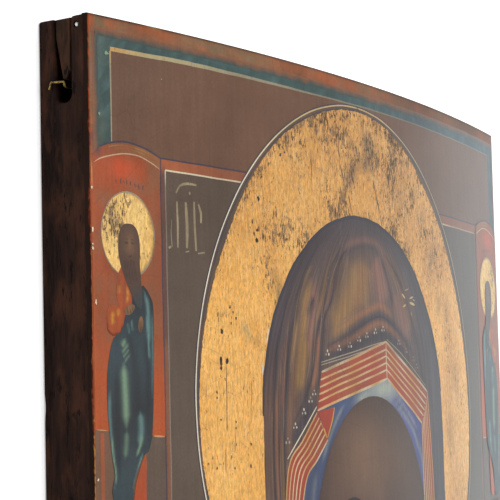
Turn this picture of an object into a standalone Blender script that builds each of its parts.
"""A painted icon panel: a thick, cupped wooden board with an end batten let into each end, and a painted
gesso ground on its face. It lies on its back, painted face up.

X runs across the picture, Y runs up the picture, Z points out of the painted face, all in metres. The board
has cupped about an axis that runs along Y, so its face is crowned and it lies on its two long back arrises.
Every long piece is one flat section, in a plane through that axis, spun through the angle that it spans.
"""

import math

import bmesh
import bpy
from mathutils import Matrix, Vector

# Panel
PANEL_WIDTH = 0.445          # along the painted face
PANEL_HEIGHT = 0.533
PANEL_THICKNESS = 0.030      # wood and ground together
WARP_RADIUS = 1.325          # of the painted face
ARRIS_WEAR = 0.0014          # width of the worn arrises of the board

# Painted ground
GROUND_THICKNESS = 0.0016
GROUND_SETBACK = 0.0004      # of the ground's rim from the board's sides and ends
GROUND_WEAR = 0.0006

# Grooves in the two ends of the board
GROOVE_FRONT_WALL = 0.0108   # painted face to the groove
GROOVE_MOUTH = 0.0096
GROOVE_ROOT = 0.0082
GROOVE_DEPTH = 0.0375
GROOVE_ROOT_RADIUS = 0.0030

# End battens, wedges that have shrunk in their grooves
BATTEN_DEPTH = 0.0275
BATTEN_SHOULDER = 0.0235     # depth where the blunt point starts
BATTEN_PARALLEL = 0.0090     # depth where the back of the wedge starts to slope
BATTEN_TIP = 0.0017          # width of the blunt point
BATTEN_TIP_SETBACK = 0.0035  # groove's front wall to the point
BATTEN_SINK = 0.0007         # below the ends of the board
BATTEN_SETBACK = 0.0008      # from the sides of the board
BATTEN_WEAR = 0.0004

# Nail in the left side
NAIL_BELOW_TOP = 0.0044
NAIL_BEHIND_FACE = 0.0069
NAIL_HEAD_RADIUS = 0.0011
NAIL_HEAD_HEIGHT = 0.0006
NAIL_SHANK_RADIUS = 0.0006
NAIL_SHANK_LENGTH = 0.0090
NAIL_POCKET_DEPTH = 0.0009
NAIL_SIDES = 16

# Bent wire in the mouth of the hollow below the top batten
WIRE_RADIUS = 0.00045
WIRE_LEG = 0.0026            # length of its outer leg, along the side of the board
WIRE_LEG_SPLAY = 0.0013      # the outer leg leans this far towards the back
WIRE_REACH = 0.0011          # behind the groove's back wall
WIRE_RISE = 0.0004           # of its outer bend
WIRE_DROP = 0.0022           # of its tail, below the batten's point
WIRE_TAIL = 0.0110           # length that runs into the hollow

CLEARANCE = 0.0003           # between pieces that touch
STRIPS = 25                  # odd, so that one flat strip lies at the middle of the back
ROOT_STEPS = 4
SHARP_ANGLE = math.radians(60)

HALF_WIDTH = PANEL_WIDTH / 2
HALF_HEIGHT = PANEL_HEIGHT / 2
HALF_ANGLE = HALF_WIDTH / WARP_RADIUS


def clear_scene():
    for old in list(bpy.data.objects):
        bpy.data.objects.remove(old, do_unlink=True)


def new_collection(name, hidden=False):
    made = bpy.data.collections.new(name)
    made.hide_render = hidden
    bpy.context.scene.collection.children.link(made)
    return made


def material(name, colour, roughness, metallic=0.0):
    made = bpy.data.materials.new(name)
    made.use_nodes = True
    made.diffuse_color = (*colour, 1.0)
    shader = made.node_tree.nodes["Principled BSDF"]
    shader.inputs["Base Color"].default_value = (*colour, 1.0)
    shader.inputs["Roughness"].default_value = roughness
    shader.inputs["Metallic"].default_value = metallic
    return made


def on_panel(across, up, out):
    """The point that lies `across` along the painted face, `up` the picture and `out` of the face."""
    angle = across / WARP_RADIUS
    radius = WARP_RADIUS + out
    return Vector((radius * math.sin(angle), up, radius * math.cos(angle) - WARP_RADIUS))


def add_mesh_object(name, bm, paint, collection, parent):
    mesh = bpy.data.meshes.new(name)
    bmesh.ops.recalc_face_normals(bm, faces=bm.faces)
    bm.to_mesh(mesh)
    bm.free()
    made = bpy.data.objects.new(name, mesh)
    collection.objects.link(made)
    made.parent = parent
    mesh.materials.append(paint)
    mesh.shade_smooth()
    mesh.set_sharp_from_angle(angle=math.radians(30))
    return made


def spun_section(outline, half_width):
    """A closed solid: the outline of (up, out) points, spun about the warp axis across the panel."""
    bm = bmesh.new()
    corners = [bm.verts.new(on_panel(-half_width, up, out)) for up, out in outline]
    section = bm.faces.new(corners)
    bmesh.ops.spin(
        bm,
        geom=[section, *section.edges, *section.verts],
        cent=(0, 0, -WARP_RADIUS),
        axis=(0, 1, 0),
        angle=2 * half_width / WARP_RADIUS,
        steps=STRIPS,
    )
    return bm


def wear_arrises(obj, width, segments=2):
    bevel = obj.modifiers.new("Worn arrises", "BEVEL")
    bevel.width = width
    bevel.segments = segments
    bevel.limit_method = "ANGLE"
    bevel.angle_limit = SHARP_ANGLE


def corner_arc(centre_up, centre_out, radius, start, end):
    """Points of an arc, as (up, out), between two angles in degrees counted from `up` towards `out`."""
    return [
        (
            centre_up + radius * math.cos(math.radians(angle)),
            centre_out + radius * math.sin(math.radians(angle)),
        )
        for angle in (start + (end - start) * step / ROOT_STEPS for step in range(ROOT_STEPS + 1))
    ]


def groove_outline():
    """The groove in the top end, from the front of its mouth, round its root, to the back of its mouth."""
    front = -GROOVE_FRONT_WALL
    narrowing = (GROOVE_MOUTH - GROOVE_ROOT) / 2
    root_front = front - narrowing / 2
    root_back = root_front - GROOVE_ROOT
    root = HALF_HEIGHT - GROOVE_DEPTH
    radius = min(GROOVE_ROOT_RADIUS, GROOVE_ROOT * 0.45)
    front_arc = corner_arc(root + radius, root_front - radius, radius, 90, 180)
    back_arc = corner_arc(root + radius, root_back + radius, radius, 180, 270)
    return [(HALF_HEIGHT, front), *front_arc, *back_arc, (HALF_HEIGHT, front - GROOVE_MOUTH)]


def upside_down(outline):
    """The same outline at the other end of the board, still going the same way round."""
    return [(-up, out) for up, out in reversed(outline)]


def board_outline():
    face = -GROUND_THICKNESS - CLEARANCE
    groove = groove_outline()
    back = -PANEL_THICKNESS
    return [
        (HALF_HEIGHT, face),
        *groove,
        (HALF_HEIGHT, back),
        (-HALF_HEIGHT, back),
        *upside_down(groove),
        (-HALF_HEIGHT, face),
    ]


def batten_outline():
    """The top batten's section: flat against the groove's front wall, sloping away from its back wall."""
    groove_slope = (GROOVE_MOUTH - GROOVE_ROOT) / 4 / GROOVE_DEPTH
    top = HALF_HEIGHT - BATTEN_SINK

    def front_at(depth):
        return -GROOVE_FRONT_WALL - CLEARANCE - groove_slope * depth

    def back_at(depth):
        return -GROOVE_FRONT_WALL - GROOVE_MOUTH + CLEARANCE + 3 * groove_slope * depth

    tip_front = -GROOVE_FRONT_WALL - BATTEN_TIP_SETBACK
    return [
        (top, front_at(BATTEN_SINK)),
        (HALF_HEIGHT - BATTEN_SHOULDER, front_at(BATTEN_SHOULDER)),
        (HALF_HEIGHT - BATTEN_DEPTH, tip_front),
        (HALF_HEIGHT - BATTEN_DEPTH, tip_front - BATTEN_TIP),
        (HALF_HEIGHT - BATTEN_PARALLEL, back_at(BATTEN_PARALLEL)),
        (top, back_at(BATTEN_SINK)),
    ]


def side_frame(up, out):
    """Where a thing sits on the left side of the board, with its own +Z pointing out of that side."""
    point = on_panel(-HALF_WIDTH, up, out)
    outward = Vector((-math.cos(HALF_ANGLE), 0, -math.sin(HALF_ANGLE)))
    return Matrix.Translation(point) @ outward.to_track_quat("Z", "Y").to_matrix().to_4x4()


def nail_place():
    return side_frame(HALF_HEIGHT - NAIL_BELOW_TOP, -NAIL_BEHIND_FACE)


def add_nail_cutters(collection, parent):
    """The pocket round the nail's head, and the hole that its shank sits in."""
    paint = material("Cutter", (0.8, 0.1, 0.1), 0.5)
    rise = NAIL_HEAD_RADIUS
    hole_depth = NAIL_POCKET_DEPTH + NAIL_SHANK_LENGTH + CLEARANCE
    cutters = []
    for name, radius, depth in (
        ("nail_pocket", NAIL_HEAD_RADIUS + CLEARANCE, NAIL_POCKET_DEPTH),
        ("nail_hole", NAIL_SHANK_RADIUS + CLEARANCE, hole_depth),
    ):
        bm = bmesh.new()
        bmesh.ops.create_cone(
            bm,
            cap_ends=True,
            segments=NAIL_SIDES,
            radius1=radius,
            radius2=radius,
            depth=depth + rise,
            matrix=Matrix.Translation((0, 0, (rise - depth) / 2)),
        )
        cutter = add_mesh_object(name, bm, paint, collection, parent)
        cutter.matrix_local = nail_place()
        cutter.hide_render = True
        cutter.display_type = "WIRE"
        cutters.append(cutter)
    return cutters


def add_board(collection, cutters, parent):
    wood = material("Dark aged wood", (0.030, 0.017, 0.011), 0.62)
    board = add_mesh_object("board", spun_section(board_outline(), HALF_WIDTH), wood, collection, parent)
    wear_arrises(board, ARRIS_WEAR)
    for cutter in add_nail_cutters(cutters, parent):
        cut = board.modifiers.new(cutter.name, "BOOLEAN")
        cut.operation = "DIFFERENCE"
        cut.object = cutter
    return board


def add_ground(collection, parent):
    paint = material("Painted gesso", (0.165, 0.098, 0.070), 0.42)
    top = HALF_HEIGHT - GROUND_SETBACK
    outline = [(top, 0), (top, -GROUND_THICKNESS), (-top, -GROUND_THICKNESS), (-top, 0)]
    bm = spun_section(outline, HALF_WIDTH - GROUND_SETBACK)
    ground = add_mesh_object("painted_ground", bm, paint, collection, parent)
    wear_arrises(ground, GROUND_WEAR)
    return ground


def add_battens(collection, parent):
    wood = material("Batten wood", (0.046, 0.026, 0.016), 0.70)
    outline = batten_outline()
    for name, section in (
        ("top_end_batten", outline),
        ("bottom_end_batten", upside_down(outline)),
    ):
        bm = spun_section(section, HALF_WIDTH - BATTEN_SETBACK)
        batten = add_mesh_object(name, bm, wood, collection, parent)
        wear_arrises(batten, BATTEN_WEAR, segments=1)


def add_nail(collection, parent):
    """A small round-headed nail: a turned profile, from the crown of its head down to its point."""
    iron = material("Worn iron", (0.36, 0.35, 0.34), 0.38, metallic=1.0)
    seat = CLEARANCE - NAIL_POCKET_DEPTH
    dome = [
        (NAIL_HEAD_RADIUS * math.sin(turn), seat + NAIL_HEAD_HEIGHT * math.cos(turn))
        for turn in (math.radians(step * 18) for step in range(6))
    ]
    shank_end = seat - NAIL_SHANK_LENGTH
    profile = [*dome, (NAIL_SHANK_RADIUS, seat), (NAIL_SHANK_RADIUS, shank_end * 0.85), (0, shank_end)]
    bm = bmesh.new()
    ring = [bm.verts.new((radius, 0, height)) for radius, height in profile]
    for first, second in zip(ring, ring[1:]):
        bm.edges.new((first, second))
    nail = add_mesh_object("edge_nail", bm, iron, collection, parent)
    nail.matrix_local = nail_place()
    screw = nail.modifiers.new("Turned", "SCREW")
    screw.steps = NAIL_SIDES
    screw.render_steps = NAIL_SIDES
    screw.use_merge_vertices = True
    screw.merge_threshold = 0.00001
    return nail


def smooth_route(points, steps):
    """Points of a Catmull-Rom curve through the route, with its ends repeated."""
    route = [points[0], *points, points[-1]]
    found = []
    for before, start, end, after in zip(route, route[1:], route[2:], route[3:]):
        for step in range(steps):
            t = step / steps
            found.append(
                0.5 * (2 * start + (end - before) * t + (2 * before - 5 * start + 4 * end - after) * t * t
                       + (3 * start - before - 3 * end + after) * t ** 3)
            )
    return [*found, points[-1]]


def add_wire(collection, parent):
    """A stub of wire: out of the hollow below the top batten, round the groove's back wall, down its side."""
    brass = material("Dull brass", (0.33, 0.23, 0.07), 0.45, metallic=1.0)
    level = HALF_HEIGHT - BATTEN_DEPTH - CLEARANCE - 2 * WIRE_RADIUS
    proud = WIRE_RADIUS + CLEARANCE
    inner = -GROOVE_FRONT_WALL - GROOVE_MOUTH * 0.42
    outer = -GROOVE_FRONT_WALL - GROOVE_MOUTH - WIRE_REACH
    low = level - WIRE_DROP

    def beside(up, out, away):
        """A point `away` from the left side of the board, or inside the hollow if negative."""
        return side_frame(up, out) @ Vector((0, 0, away))

    route = [
        beside(low, inner, -WIRE_TAIL),
        beside(low, inner, -WIRE_TAIL * 0.4),
        beside(low, inner, -proud * 2),
        beside((level + low) / 2, inner, -proud * 0.5),
        beside(level, inner, 0.0),
        beside(level, (inner * 2 + outer) / 3, proud * 1.2),
        beside(level + WIRE_RISE * 0.5, (inner + outer * 2) / 3, proud * 1.3),
        beside(level + WIRE_RISE, outer, proud),
        beside(level - WIRE_LEG * 0.5, outer - WIRE_LEG_SPLAY * 0.5, proud),
        beside(level - WIRE_LEG, outer - WIRE_LEG_SPLAY, proud),
    ]
    points = smooth_route(route, 4)
    curve = bpy.data.curves.new("bent_wire", "CURVE")
    curve.dimensions = "3D"
    curve.bevel_depth = WIRE_RADIUS
    curve.bevel_resolution = 2
    curve.use_fill_caps = True
    spline = curve.splines.new("POLY")
    spline.points.add(len(points) - 1)
    for place, point in zip(spline.points, points):
        place.co = (*point, 1.0)
    curve.materials.append(brass)
    wire = bpy.data.objects.new("bent_wire", curve)
    collection.objects.link(wire)
    wire.parent = parent
    return wire


def lowest_point(objects):
    """The lowest world height of these objects, with their modifiers."""
    graph = bpy.context.evaluated_depsgraph_get()
    heights = []
    for obj in objects:
        evaluated = obj.evaluated_get(graph)
        mesh = evaluated.to_mesh()
        heights.extend((evaluated.matrix_world @ vertex.co).z for vertex in mesh.vertices)
        evaluated.to_mesh_clear()
    return min(heights)


def main():
    clear_scene()
    parts = new_collection("Icon panel")
    cutters = new_collection("Cutters", hidden=True)
    rest = bpy.data.objects.new("Icon panel rest", None)
    parts.objects.link(rest)
    board = add_board(parts, cutters, rest)
    add_ground(parts, rest)
    add_battens(parts, rest)
    add_nail(parts, rest)
    add_wire(parts, rest)
    rest.location.z = -lowest_point([board])


main()
